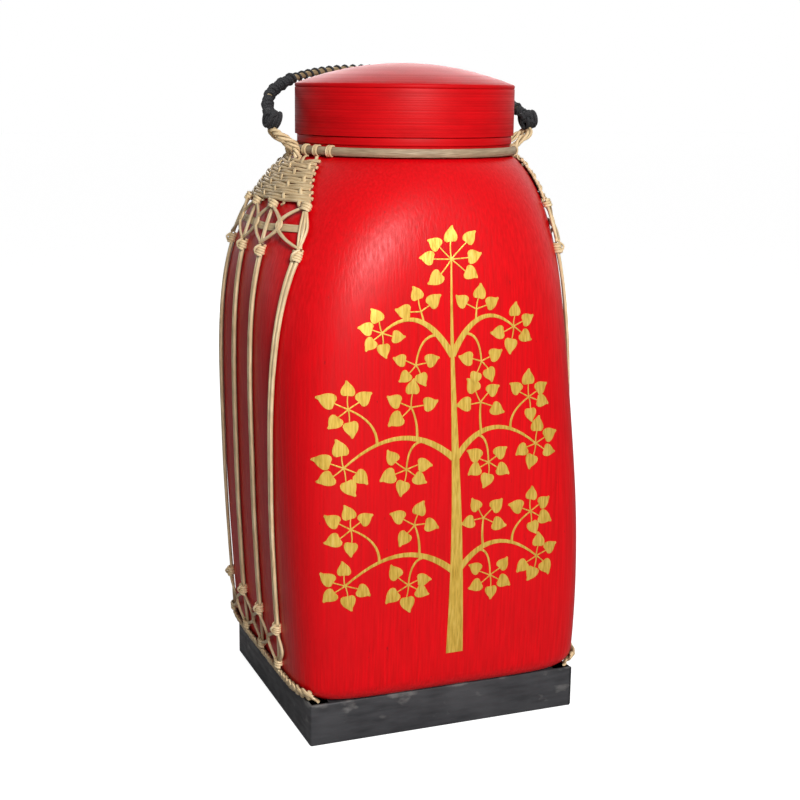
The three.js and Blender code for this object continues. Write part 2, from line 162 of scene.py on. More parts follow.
def make_lid_lacquer():
    material, tree, shader = new_finish("turned_red_lacquer")
    place = node(tree, "ShaderNodeTexCoord").outputs["Object"]
    centring = node(tree, "ShaderNodeMapping", {"Vector": place, "Location": (-BOX_CENTRE, 0, 0)})
    centred = centring.outputs["Vector"]
    flat = node(tree, "ShaderNodeMapping", {"Vector": centred, "Scale": (1, 1, 0)}).outputs["Vector"]
    radius = node(tree, "ShaderNodeVectorMath", {0: flat}, operation="LENGTH").outputs["Value"]
    height = node(tree, "ShaderNodeSeparateXYZ", {0: centred}).outputs["Z"]
    rings = node(tree, "ShaderNodeCombineXYZ", {"X": radius, "Y": height}).outputs["Vector"]
    turning = scaled_noise(tree, rings, (1, 1, 1), 900, 3)
    drift = scaled_noise(tree, place, (1, 1, 4), 38, 3)
    red = shades(tree, turning, [(0.3, (0.47, 0.0012, 0.0035)), (0.7, (0.66, 0.003, 0.006))])
    cloudy = mixed(tree, remapped(tree, drift, 0.45, 0.75, 0.0, 0.6), red, (0.42, 0.001, 0.003, 1))
    tree.links.new(cloudy, shader.inputs["Base Color"])
    tree.links.new(remapped(tree, turning, 0.3, 0.7, 0.54, 0.42), shader.inputs["Roughness"])
    bump = node(tree, "ShaderNodeBump", {"Height": turning, "Strength": 0.3, "Distance": 0.0006})
    tree.links.new(bump.outputs["Normal"], shader.inputs["Normal"])
    shader.inputs["Specular IOR Level"].default_value = 0.12
    return material

body_lacquer = make_body_lacquer()
lid_lacquer = make_lid_lacquer()
print("finishes:", body_lacquer.name, lid_lacquer.name)

# %% [markdown]
# ## Black paint, rattan, cord and gold
# The base is painted and scuffed, so grey shows through in long scratches and along the top edge.
# Rattan and cord are strands. Each strand carries an attribute called straight, which is the place
# that a point would have if the strand were pulled straight, so the fibres run along it however
# it bends. The gold is brushed paint, half metal and half pigment.

# %% The other finishes
def make_black_paint():
    material, tree, shader = new_finish("scuffed_black_paint")
    place = node(tree, "ShaderNodeTexCoord").outputs["Object"]
    grain = scaled_noise(tree, place, (0.2, 0.2, 1), 260, 4)
    scratches = scaled_noise(tree, place, (0.7, 0.7, 1.3), 75, 7)
    patches = scaled_noise(tree, place, (1, 1, 1), 30, 2)
    height = node(tree, "ShaderNodeSeparateXYZ", {0: place}).outputs["Z"]
    edge = remapped(tree, height, 0.026, 0.0296, 0.0, 0.11)
    rubbed = node(tree, "ShaderNodeMath", {0: scratches, 1: edge}, operation="ADD").outputs["Value"]
    paint = shades(tree, grain, [(0.3, (0.018, 0.018, 0.02)), (0.7, (0.042, 0.042, 0.046))])
    greyed = mixed(tree, remapped(tree, patches, 0.45, 0.7, 0.0, 0.5), paint, (0.062, 0.062, 0.066, 1))
    scuffed = mixed(tree, remapped(tree, rubbed, 0.62, 0.74, 0.0, 0.7), greyed, (0.16, 0.155, 0.15, 1))
    tree.links.new(scuffed, shader.inputs["Base Color"])
    tree.links.new(remapped(tree, grain, 0.3, 0.7, 0.7, 0.5), shader.inputs["Roughness"])
    bump = node(tree, "ShaderNodeBump", {"Height": grain, "Strength": 0.4, "Distance": 0.0006})
    tree.links.new(bump.outputs["Normal"], shader.inputs["Normal"])
    shader.inputs["Specular IOR Level"].default_value = 0.35
    return material

def strand_coordinates(tree):
    return node(tree, "ShaderNodeAttribute", attribute_name="straight").outputs["Vector"]

def make_rattan(name, dark, middle, pale):
    material, tree, shader = new_finish(name)
    place = node(tree, "ShaderNodeTexCoord").outputs["Object"]
    along = strand_coordinates(tree)
    fibres = scaled_noise(tree, along, (1, 1, 0.05), 1900, 4)
    lengths = scaled_noise(tree, place, (1, 1, 1), 75, 2)
    tan = shades(tree, fibres, [(0.28, dark), (0.5, middle), (0.72, pale)])
    darker = [c * 0.7 for c in middle]
    toned = mixed(tree, remapped(tree, lengths, 0.4, 0.72, 0.0, 0.6), tan, (*darker, 1))
    # Painted shade: the underside of each strand, the side that lies against the surface under it, is
    # darkened towards a third of its dark tone.
    depth = node(tree, "ShaderNodeSeparateXYZ", {0: along}).outputs["Y"]
    under = remapped(tree, depth, 0.0002, -0.0009, 0.0, 0.8)
    with_painted_underside_shade = mixed(tree, under, toned, (*[c * 0.32 for c in dark], 1))
    tree.links.new(with_painted_underside_shade, shader.inputs["Base Color"])
    tree.links.new(remapped(tree, fibres, 0.3, 0.7, 0.6, 0.42), shader.inputs["Roughness"])
    bump = node(tree, "ShaderNodeBump", {"Height": fibres, "Strength": 0.55, "Distance": 0.0004})
    tree.links.new(bump.outputs["Normal"], shader.inputs["Normal"])
    shader.inputs["Specular IOR Level"].default_value = 0.4
    return material

def make_black_cord():
    material, tree, shader = new_finish("black_cord")
    along = strand_coordinates(tree)
    waves = {"Vector": along, "Scale": 420, "Distortion": 3, "Detail": 2}
    yarn = node(tree, "ShaderNodeTexWave", waves, wave_type="BANDS",
                bands_direction="DIAGONAL").outputs["Fac"]
    fluff = scaled_noise(tree, along, (1, 1, 0.4), 2600, 3)
    black = shades(tree, yarn, [(0.2, (0.004, 0.004, 0.005)), (0.9, (0.020, 0.020, 0.023))])
    dusty = mixed(tree, remapped(tree, fluff, 0.62, 0.8, 0.0, 0.5), black, (0.07, 0.07, 0.075, 1))
    tree.links.new(dusty, shader.inputs["Base Color"])
    tree.links.new(remapped(tree, fluff, 0.3, 0.7, 0.85, 0.62), shader.inputs["Roughness"])
    bump = node(tree, "ShaderNodeBump", {"Height": yarn, "Strength": 0.6, "Distance": 0.0005})
    tree.links.new(bump.outputs["Normal"], shader.inputs["Normal"])
    return material

def make_gold():
    material, tree, shader = new_finish("brushed_gold_paint")
    place = node(tree, "ShaderNodeTexCoord").outputs["Object"]
    brush = scaled_noise(tree, place, (1, 1, 0.12), 700, 4)
    gold = shades(tree, brush, [(0.3, (0.52, 0.31, 0.035)), (0.55, (0.80, 0.53, 0.09)),
                                (0.75, (0.93, 0.68, 0.17))])
    tree.links.new(gold, shader.inputs["Base Color"])
    tree.links.new(remapped(tree, brush, 0.3, 0.7, 0.52, 0.34), shader.inputs["Roughness"])
    bump = node(tree, "ShaderNodeBump", {"Height": brush, "Strength": 0.4, "Distance": 0.0004})
    tree.links.new(bump.outputs["Normal"], shader.inputs["Normal"])
    shader.inputs["Metallic"].default_value = 0.6
    return material

black_paint = make_black_paint()
rattan = make_rattan("rattan", (0.44, 0.28, 0.13), (0.80, 0.60, 0.34), (0.92, 0.78, 0.52))
# The hoop gets the rattan finish again with its tones darkened to about half, so it is darker all over.
hoop_cane = make_rattan("darker_hoop_cane", (0.20, 0.13, 0.07), (0.36, 0.26, 0.16),
                        (0.55, 0.43, 0.28))
black_cord = make_black_cord()
gold_paint = make_gold()
print("finishes:", black_paint.name, rattan.name, hoop_cane.name, black_cord.name, gold_paint.name)

# %% [markdown]
# ## From a mesh to a piece
# Every piece ends the same way: its mesh becomes an object at the origin, gets its finish, rides
# on a body of the frame and stands for the CAD pieces that it replaces.

# %% Finish a piece
SHARP_EDGE = math.radians(38)

def finish_piece(name, bm, material, body, nodes=(), recalculate=True):
    if recalculate:
        bmesh.ops.recalc_face_normals(bm, faces=bm.faces)
    for face in bm.faces:
        face.smooth = True
    for edge in bm.edges:
        edge.smooth = edge.calc_face_angle(0) < SHARP_EDGE
    mesh = bpy.data.meshes.new(name)
    bm.to_mesh(mesh)
    bm.free()
    mesh.materials.append(material)
    piece = bpy.data.objects.new(name, mesh)
    bpy.context.scene.collection.objects.link(piece)
    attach(piece, body)
    if nodes:
        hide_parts(*nodes)
    print(name, "has", len(mesh.polygons), "faces")
    return piece

# %% [markdown]
# ## The base
# Four boards meet in mitred corners. Each could be a plain block with a texture, but real boards
# have edges that catch the light, so a cube is cut at 45 degrees at both ends and its edges are
# bevelled.

# %% Four painted boards
EDGE_ROUNDING = 1.1 * MM

def make_board(word, quarter):
    node_name = f"base_{word}_board"
    low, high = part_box(node_name)
    bm = bmesh.new()
    bmesh.ops.create_cube(bm, size=1)
    bmesh.ops.scale(bm, vec=high - low, verts=bm.verts)
    bmesh.ops.translate(bm, vec=(low + high) / 2, verts=bm.verts)
    outer = Matrix.Rotation(quarter * math.pi / 2, 3, "Z") @ Vector((0, -1, 0))
    along = Vector((-outer.y, outer.x, 0))
    middle = (low + high) / 2 + outer * abs((high - low).dot(outer)) / 2
    half = abs((high - low).dot(along)) / 2
    for way in (-1, 1):
        corner = middle + along * half * way
        bmesh.ops.bisect_plane(bm, geom=bm.verts[:] + bm.edges[:] + bm.faces[:], plane_co=corner,
                               plane_no=along * way + outer, clear_outer=True)
        open_edges = [edge for edge in bm.edges if edge.is_boundary]
        bmesh.ops.holes_fill(bm, edges=open_edges)
    sharp = [edge for edge in bm.edges if edge.calc_face_angle(0) > SHARP_EDGE]
    bmesh.ops.bevel(bm, geom=sharp, offset=EDGE_ROUNDING, segments=3, profile=0.5, affect="EDGES",
                    material=-1, clamp_overlap=True)
    return finish_piece(f"painted_{word}_board", bm, black_paint, "body", [node_name])

for quarter, word in enumerate(("front", "right", "back", "left")):
    make_board(word, quarter)

# %% [markdown]
# ## The body
# The vessel's level section is a rounded square at the foot and a circle at the neck, and the
# belly leans a little to the left, as hand work does. We could pull a cube into shape, but a
# revolve that is pressed to the section at each height keeps the wall smooth. The section is a
# superellipse: its power falls from 7.3 at the foot to 2, a circle, at the neck.

# %% The shape of the vessel
BODY_BOTTOM = 30.3 * MM
BODY_HEIGHT = 365.7 * MM
BODY_TOP = BODY_BOTTOM + BODY_HEIGHT
BELLY_HEIGHT = 145 * MM
BELLY_TOP = BODY_BOTTOM + BELLY_HEIGHT
FOOT_HALF_WIDTH = 106 * MM
BELLY_HALF_WIDTH = 111.2 * MM
NECK_RADIUS = 75 * MM
SHOULDER_POWER = 5
SHOULDER_ROOT = 1.307
FOOT_SQUARENESS = 7.3
ROUNDING_RATE = 1.2
DEPTH_RATIO = 0.958
LEAN = 10 * MM
FOOT_ROUNDING = 14 * MM
WALL = 4.5 * MM
FLOOR_THICKNESS = 7 * MM

def clamp(value, low, high):
    return max(low, min(high, value))

def section(height):
    rise = clamp((height - BODY_BOTTOM) / BODY_HEIGHT, 0, 1)
    if height > BELLY_TOP:
        up = min((height - BELLY_TOP) / (BODY_TOP - BELLY_TOP), 1)
        fullness = (1 - up ** SHOULDER_POWER) ** (1 / SHOULDER_ROOT)
        half_width = NECK_RADIUS + (BELLY_HALF_WIDTH - NECK_RADIUS) * fullness
    else:
        down = (BELLY_TOP - height) / BELLY_HEIGHT
        half_width = BELLY_HALF_WIDTH - (BELLY_HALF_WIDTH - FOOT_HALF_WIDTH) * down ** 2
    below = clamp((BODY_BOTTOM + FOOT_ROUNDING - height) / FOOT_ROUNDING, 0, 1)
    inset = FOOT_ROUNDING * (1 - math.sqrt(1 - below ** 2))
    half_depth = half_width * (DEPTH_RATIO + (1 - DEPTH_RATIO) * rise ** 4) - inset
    power = 2 + (FOOT_SQUARENESS - 2) * (1 - rise ** ROUNDING_RATE)
    centre = BOX_CENTRE - LEAN * math.sin(math.pi * rise ** 2)
    return half_width - inset, half_depth, power, centre

def pressed_radius(angle, height, inset):
    half_width, half_depth, power, _ = section(height)
    across = abs(math.cos(angle) / (half_width - inset)) ** power
    along = abs(math.sin(angle) / (half_depth - inset)) ** power
    return (across + along) ** (-1 / power)

def on_side(side):
    def surface(depth, height):
        half_width, half_depth, power, centre = section(height)
        share = min(abs(depth) / half_depth, 0.9995)
        return Vector((centre + side * half_width * (1 - share ** power) ** (1 / power), depth, height))
    return surface

def on_front(across, height):
    half_width, half_depth, power, centre = section(height)
    share = min(abs(across) / half_width, 0.9995)
    return Vector((centre + across, -half_depth * (1 - share ** power) ** (1 / power), height))

def outwards(surface, first, second):
    step = 0.6 * MM
    here = surface(first, second)
    normal = (surface(first + step, second) - surface(first - step, second)).cross(
        surface(first, second + step) - surface(first, second - step)).normalized()
    return normal if normal.dot(here - Vector((BOX_CENTRE, 0, here.z))) > 0 else -normal

print("half width at the belly", section(BELLY_TOP)[0])

# %% Spin the body and press it
BODY_TURNS = 192
SIDE_ROWS = 34
SHOULDER_ROWS = 26
SHOULDER_HEIGHT = 75 * MM

def body_outline():
    outline = [(0, 0, BODY_BOTTOM)]
    for turn in range(1, 9):
        outline.append((1, 0, BODY_BOTTOM + FOOT_ROUNDING * (1 - math.cos(turn / 8 * math.pi / 2))))
    foot = BODY_BOTTOM + FOOT_ROUNDING
    shoulder = BODY_TOP - SHOULDER_HEIGHT
    outline += [(1, 0, foot + (shoulder - foot) * i / SIDE_ROWS) for i in range(1, SIDE_ROWS + 1)]
    for i in range(1, SHOULDER_ROWS + 1):
        outline.append((1, 0, shoulder + SHOULDER_HEIGHT * (1 - (1 - i / SHOULDER_ROWS) ** 2)))
    floor = BODY_BOTTOM + FLOOR_THICKNESS
    for down in (0, 0.005, 0.015, 0.03, 0.05, 0.08, 0.12, 0.17, 0.24, 0.34, 0.5, 0.7, 0.9):
        outline.append((1, WALL, BODY_TOP - (BODY_TOP - floor) * down))
    return outline + [(0.93, WALL, floor), (0, WALL, floor)]

def make_body():
    bm = bmesh.new()
    inset = bm.verts.layers.float.new("inset")
    points = []
    for share, depth, height in body_outline():
        vert = bm.verts.new((share, 0, height))
        vert[inset] = depth
        points.append(vert)
    for first, second in zip(points, points[1:]):
        bm.edges.new((first, second))
    bmesh.ops.spin(bm, geom=bm.verts[:] + bm.edges[:], cent=(0, 0, 0), axis=(0, 0, 1),
                   angle=2 * math.pi, steps=BODY_TURNS, use_merge=True)
    bmesh.ops.remove_doubles(bm, verts=bm.verts, dist=0.01 * MM)
    for vert in bm.verts:
        share = math.hypot(vert.co.x, vert.co.y)
        angle = math.atan2(vert.co.y, vert.co.x)
        radius = share * pressed_radius(angle, vert.co.z, vert[inset])
        vert.co.x = radius * math.cos(angle) + section(vert.co.z)[3]
        vert.co.y = radius * math.sin(angle)
    return finish_piece("lacquered_body", bm, body_lacquer, "body", ["body_shell"])

make_body()

# %% [markdown]
# ## The neck and the lid
# The collar, the lid's wall, its domed top and the ring under it are turned pieces. A lathe leaves
# soft corners, so we spin each outline and then bevel the rings where two faces meet sharply.

# %% Turned pieces
TURNED_STEPS = 160
LID_ROUNDING = 0.9 * MM

def make_turned(name, outline, rounding, material, body, nodes, closed=True):
    bm = bmesh.new()
    points = [bm.verts.new((radius, 0, height)) for radius, height in outline]
    for first, second in zip(points, points[1:] + points[:1] if closed else points[1:]):
        bm.edges.new((first, second))
    bmesh.ops.spin(bm, geom=bm.verts[:] + bm.edges[:], cent=(0, 0, 0), axis=(0, 0, 1),
                   angle=2 * math.pi, steps=TURNED_STEPS, use_merge=True)
    bmesh.ops.remove_doubles(bm, verts=bm.verts, dist=0.01 * MM)
    bmesh.ops.recalc_face_normals(bm, faces=bm.faces)
    corners = [edge for edge in bm.edges if edge.calc_face_angle(0) > SHARP_EDGE]
    bmesh.ops.bevel(bm, geom=corners, offset=rounding, segments=3, profile=0.5, affect="EDGES",
                    material=-1, clamp_overlap=True)
    bmesh.ops.translate(bm, vec=(BOX_CENTRE, 0, 0), verts=bm.verts)
    return finish_piece(name, bm, material, body, nodes)

COLLAR_BORE = 62 * MM
SPIGOT_RADIUS = 70.2 * MM
COLLAR_RADIUS = 74.6 * MM
LIP_RADIUS = 75.5 * MM
LIP_HEIGHT = 5.4 * MM
SEAT_RISE = 10 * MM
COLLAR_ROUNDING = 0.7 * MM
low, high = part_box("neck_collar")
collar_seat = low.z + SEAT_RISE
collar_step = high.z - LIP_HEIGHT
make_turned("turned_collar", [
    (COLLAR_BORE, low.z), (SPIGOT_RADIUS, low.z), (SPIGOT_RADIUS, collar_seat),
    (COLLAR_RADIUS, collar_seat), (COLLAR_RADIUS, collar_step), (LIP_RADIUS, collar_step),
    (LIP_RADIUS, high.z), (COLLAR_BORE, high.z),
], COLLAR_ROUNDING, lid_lacquer, "body", ["neck_collar"])

LID_RADIUS = 77 * MM
LID_INNER = 72 * MM
JOINT_ROUNDING = 0.35 * MM
wall_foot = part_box("lid_wall")[0].z
wall_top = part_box("lid_domed_top")[0].z
make_turned("lid_side", [(LID_INNER, wall_foot), (LID_RADIUS, wall_foot), (LID_RADIUS, wall_top),
                         (LID_INNER, wall_top)],
            JOINT_ROUNDING, lid_lacquer, "lid", ["lid_wall"])

LID_RIM = 2.5 * MM
DOME_ROWS = 24
low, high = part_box("lid_domed_top")
dome_rim = low.z + LID_RIM
dome_rise = high.z - dome_rim
dome = [(0, low.z + dome_rise / 2), (LID_RADIUS * 0.55, low.z + dome_rise / 3),
        (LID_INNER - LID_RIM, low.z), (LID_RADIUS, low.z)]
dome += [(LID_RADIUS * (1 - i / DOME_ROWS), dome_rim + dome_rise * (1 - (1 - i / DOME_ROWS) ** 2))
         for i in range(DOME_ROWS + 1)]
make_turned("lid_dome", dome, LID_ROUNDING, lid_lacquer, "lid", ["lid_domed_top"],
            closed=False)

RING_BORE = 56 * MM
RING_RADIUS = 61.5 * MM
FLANGE_RADIUS = 71.7 * MM
FLANGE_HEIGHT = 6 * MM
low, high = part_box("lid_locating_ring")
flange = high.z - FLANGE_HEIGHT
make_turned("lid_ring", [(RING_BORE, low.z), (RING_RADIUS, low.z), (RING_RADIUS, flange),
                         (FLANGE_RADIUS, flange), (FLANGE_RADIUS, high.z), (RING_BORE, high.z)],
            LID_ROUNDING, lid_lacquer, "lid", ["lid_locating_ring"])

# %% [markdown]
# ## How to lay a strand
# Rattan strands follow the vessel, so each needs a route and a direction that points away from the
# lacquer. A curve with a bevel is one way. We roll up a flat grid instead: its long edges meet
# and merge, its ends are filled, and each point keeps its unrolled place for the fibres.

# %% Routes and strands
def smooth_route(points, steps):
    """Points on a smooth line through all the given ones, with some steps to each span."""
    route = []
    for i in range(len(points) - 1):
        before = points[max(i - 1, 0)]
        start, end = points[i], points[i + 1]
        after = points[min(i + 2, len(points) - 1)]
        for step in range(steps):
            t = step / steps
            square = 2 * before - 5 * start + 4 * end - after
            cube = 3 * start - before - 3 * end + after
            route.append(0.5 * (2 * start + (end - before) * t + square * t ** 2 + cube * t ** 3))
    return route + [points[-1]]

def new_strands():
    bm = bmesh.new()
    bm.verts.layers.float_vector.new("straight")
    return bm

def many(value, count):
    return list(value) if isinstance(value, (list, tuple)) else [value] * count

def roll_strand(bm, places, ups, width, thickness, sides=8, closed=False):
    straight = bm.verts.layers.float_vector["straight"]
    steps = len(places) - 1
    widths = many(width, steps + 1)
    thicks = many(thickness, steps + 1)
    stations = []
    length = 0.0
    for i, place in enumerate(places):
        if closed:
            ahead = places[(i + 1) % steps] - places[(i - 1) % steps]
        else:
            ahead = places[min(i + 1, steps)] - places[max(i - 1, 0)]
        if i:
            length += (place - places[i - 1]).length
        across = ahead.cross(ups[i]).normalized()
        stations.append((place, across, across.cross(ahead).normalized(), length))
    made = bmesh.ops.create_grid(bm, x_segments=steps, y_segments=sides, size=1)["verts"]
    for vert in made:
        i = round((vert.co.x + 1) / 2 * steps)
        turn = 2 * math.pi * (round((vert.co.y + 1) / 2 * sides) % sides + 0.5) / sides
        place, across, up, length = stations[i]
        x = widths[i] / 2 * math.cos(turn)
        y = thicks[i] / 2 * math.sin(turn)
        vert.co = place + across * x + up * y
        vert[straight] = (x, y, length)
    bmesh.ops.remove_doubles(bm, verts=made, dist=0.002 * MM)
    kept = [vert for vert in made if vert.is_valid]
    open_edges = list({edge for vert in kept for edge in vert.link_edges if edge.is_boundary})
    if open_edges:
        bmesh.ops.holes_fill(bm, edges=open_edges)

def lay_strand(bm, surface, points, lift, width, thickness, steps=6, sides=8):
    """Lays a strand on a surface. Points are places on it, and lift is the air under the strand."""
    route = smooth_route([Vector(point) for point in points], steps)
    lifts = many(lift, len(route))
    thicks = many(thickness, len(route))
    ups = [outwards(surface, *place) for place in route]
    places = [surface(*place) + up * (lifts[i] + thicks[i] / 2)
              for i, (place, up) in enumerate(zip(route, ups))]
    roll_strand(bm, places, ups, width, thicks, sides)

def wind(centre, axis, up, across_radius, up_radius, pitch, turns, steps=14, start=0.0):
    """A winding round an axis: its places and the directions that point out of it."""
    side = axis.cross(up).normalized()
    places, ups = [], []
    for i in range(round(turns * steps) + 1):
        angle = start + 2 * math.pi * i / steps
        out = side * math.cos(angle) * across_radius + up * math.sin(angle) * up_radius
        along = pitch * (i / steps - turns / 2)
        places.append(centre + axis * along + out)
        outward = side * math.cos(angle) * up_radius + up * math.sin(angle) * across_radius
        ups.append(outward.normalized())
    return places, ups

print("strand helpers ready")

# %% [markdown]
# ## Canes and wound knots on the narrow sides
# Four pairs of canes run down each narrow side between wound knots. One flat bar a pair would
# do at a distance, but close up the groove between two round canes is what says rattan.

# %% Canes and knots
WARPS = 4
SPACING_TOP, SPACING_FOOT = 40 * MM, 43 * MM
DRIFT_TOP, DRIFT_FOOT = -12 * MM, 14 * MM
UPPER_KNOT = 334 * MM
LOWER_KNOT = 73 * MM
CANE = 2.9 * MM
CANE_THICKNESS = 2.6 * MM
LAID_GAP = 0.45 * MM
KNOT_STRAND = 1.9 * MM
KNOT_THICKNESS = 1.5 * MM
KNOT_TURNS = 4
KNOT_PITCH = 1.75 * MM
KNOT_ACROSS, KNOT_OUT = 3.5 * MM, 2.5 * MM
CROSSING_UP, CROSSING_OVER, CROSSING_LOW, CROSSING_HIGH = 3.6 * MM, 2.6 * MM, 1.6 * MM, 4.3 * MM
chance = random.Random(11)

def warp_depth(index, height):
    share = clamp((height - LOWER_KNOT) / (UPPER_KNOT - LOWER_KNOT), 0, 1)
    share = share * share * (3 - 2 * share)
    spacing = SPACING_FOOT + (SPACING_TOP - SPACING_FOOT) * share
    drift = DRIFT_FOOT + (DRIFT_TOP - DRIFT_FOOT) * share
    return drift + spacing * (index - (WARPS - 1) / 2)

def make_canes(side, word, index):
    bm = new_strands()
    sway = chance.uniform(-0.5, 0.5) * MM
    for way in (-1, 1):
        points = []
        for i in range(13):
            height = LOWER_KNOT + (UPPER_KNOT - LOWER_KNOT) * i / 12
            apart = (CANE / 2 + 0.15 * MM * math.sin(i * 1.7 + way)) * way
            points.append((warp_depth(index, height) + apart + sway * math.sin(i * 0.9), height))
        lay_strand(bm, on_side(side), points, LAID_GAP, CANE, CANE_THICKNESS, 5)
    finish_piece(f"cane_pair_{word}_{index + 1}", bm, rattan, "body",
                 [f"warp_{word}_{index + 1}"])

def make_knot(side, word, index, place, height):
    surface = on_side(side)
    depth = warp_depth(index, height)
    up = outwards(surface, depth, height)
    axis = (Vector((0, 0, 1)) - up * up.z).normalized()
    centre = surface(depth, height) + up * (LAID_GAP + CANE_THICKNESS / 2 + 0.4 * MM)
    bm = new_strands()
    tilt = axis.cross(up).normalized() * chance.uniform(-0.16, 0.16)
    places, ups = wind(centre, (axis + tilt).normalized(), up, KNOT_ACROSS, KNOT_OUT, KNOT_PITCH,
                       KNOT_TURNS)
    roll_strand(bm, places, ups, KNOT_STRAND, KNOT_THICKNESS, 6)
    across = axis.cross(up).normalized()
    diagonal = axis * CROSSING_UP + across * CROSSING_OVER
    crossing = [centre - diagonal + up * CROSSING_LOW, centre + up * CROSSING_HIGH,
                centre + diagonal + up * CROSSING_LOW]
    over = smooth_route(crossing, 6)
    roll_strand(bm, over, [up] * len(over), KNOT_STRAND + 0.3 * MM, KNOT_THICKNESS, 6)
    finish_piece(f"wound_{place}_knot_{word}_{index + 1}", bm, rattan, "body",
                 [f"{place}_knot_{word}_{index + 1}"])

for side, word in SIDES:
    for index in range(WARPS):
        make_canes(side, word, index)
        make_knot(side, word, index, "upper", UPPER_KNOT)
        make_knot(side, word, index, "lower", LOWER_KNOT)

# %% [markdown]
# ## Strip, eyes and loops
# Above the upper knots the strands part into eyes that cross a flat strip, and below the lower
# knots they part again. Each bow is two thin strands, so the eyes have the ribbed look of
# real lacing.

# %% Lacing
STRIP_HEIGHT = 350 * MM
STRIP_WIDTH = 5.4 * MM
STRIP_THICKNESS = 1.2 * MM
STRIP_REACH = 66 * MM
LACE = 1.9 * MM
LACE_THICKNESS = 1.9 * MM
LACE_TOP = 363 * MM
LACE_FOOT = 46 * MM
KNOT_HALF = 4 * MM
UPPER_GATHER, LOWER_GATHER = 0.84, 0.94
UPPER_END_BOW, LOWER_END_BOW = 0.2, 0.45
BOW_OVER, BOW_UNDER = 1.5 * MM, 0.5 * MM
TIE_STRAND, TIE_THICKNESS, TIE_PITCH, TIE_TURNS = 2.1 * MM, 1.6 * MM, 1.9 * MM, 2.5
TIE_ACROSS, TIE_OUT = 3.6 * MM, 2.4 * MM

def make_strip(side, word):
    bm = new_strands()
    points = [(share * STRIP_REACH, STRIP_HEIGHT + 0.8 * MM * math.sin(share * 5)) for share in
              (-1, -0.7, -0.4, -0.1, 0.2, 0.5, 0.9)]
    lay_strand(bm, on_side(side), points, LAID_GAP, STRIP_WIDTH, STRIP_THICKNESS, 6)
    finish_piece(f"flat_strip_{word}", bm, rattan, "body", [f"cross_strip_{word}"])

def bow_points(near, far, start, end, reach):
    return [(near + (far - near) * rise + reach * out, start + (end - start) * rise)
            for rise, out in ((0, 0), (0.25, 0.66), (0.5, 1), (0.75, 0.66), (1, 0))]

def make_lacing(side, word, place, start, end, lift, gather, end_bow):
    bm = new_strands()
    surface = on_side(side)
    half = (warp_depth(1, start) - warp_depth(0, start)) / 2
    for index in range(WARPS):
        near = warp_depth(index, start)
        far = near * gather
        for way in (-1, 1):
            apart = way * LACE / 2
            middle = ((near + far) / 2 + apart, (start + end) / 2)
            lay_strand(bm, surface, [(near + apart, start), middle, (far + apart, end)], lift, LACE,
                       LACE_THICKNESS, 8)
            outer = (index == 0 and way < 0) or (index == WARPS - 1 and way > 0)
            reach = way * (half * end_bow if outer else half + LACE / 2)
            over = lift + (BOW_OVER if (index + (way > 0)) % 2 else BOW_UNDER)
            for strand in (0, 1):
                inner = reach - way * strand * (LACE + 0.1 * MM)
                lay_strand(bm, surface, bow_points(near, far, start, end, inner), over, LACE,
                           LACE_THICKNESS, 6)
        up = outwards(surface, far, end)
        axis = (Vector((0, 0, 1)) - up * up.z).normalized()
        centre = surface(far, end) + up * (lift + TIE_THICKNESS)
        places, ups = wind(centre, axis, up, TIE_ACROSS, TIE_OUT, TIE_PITCH, TIE_TURNS)
        roll_strand(bm, places, ups, TIE_STRAND, TIE_THICKNESS, 6)
    finish_piece(f"{place}_eyes_{word}", bm, rattan, "body", [f"{place}_lacing_{word}"])

for side, word in SIDES:
    make_strip(side, word)
    make_lacing(side, word, "upper", UPPER_KNOT + KNOT_HALF, LACE_TOP, LAID_GAP + STRIP_THICKNESS,
                UPPER_GATHER, UPPER_END_BOW)
    make_lacing(side, word, "lower", LOWER_KNOT - KNOT_HALF, LACE_FOOT, LAID_GAP, LOWER_GATHER,
                LOWER_END_BOW)

# %% [markdown]
# ## The fan and the plait
# Under the hoop the strands are woven into a close fan, row over row. At the foot a plait of three
# strands runs along the top of the base. Both could be bumps in a material, but the weave makes the
# box's outline there, so it is real strands that rise and dip.

# %% Woven fan
FAN_ROWS = 7
FAN_BOTTOM, FAN_TOP = 367.5 * MM, 390 * MM
FAN_REACH_BOTTOM, FAN_REACH_TOP = 60 * MM, 38 * MM
FAN_STRAND = 2.5 * MM
FAN_THICKNESS = 2.1 * MM
FAN_PLIES = (-0.25, 0.25)
WEAVE_RISE = 0.55 * MM
FAN_STATIONS = 15
ROW_STEPS = 3
STAKE, STAKE_THICKNESS = 2.9 * MM, 1.5 * MM
STAKE_LIFT, STAKE_SWING = 1.2 * MM, 1.3 * MM
STAKE_STEPS = 4

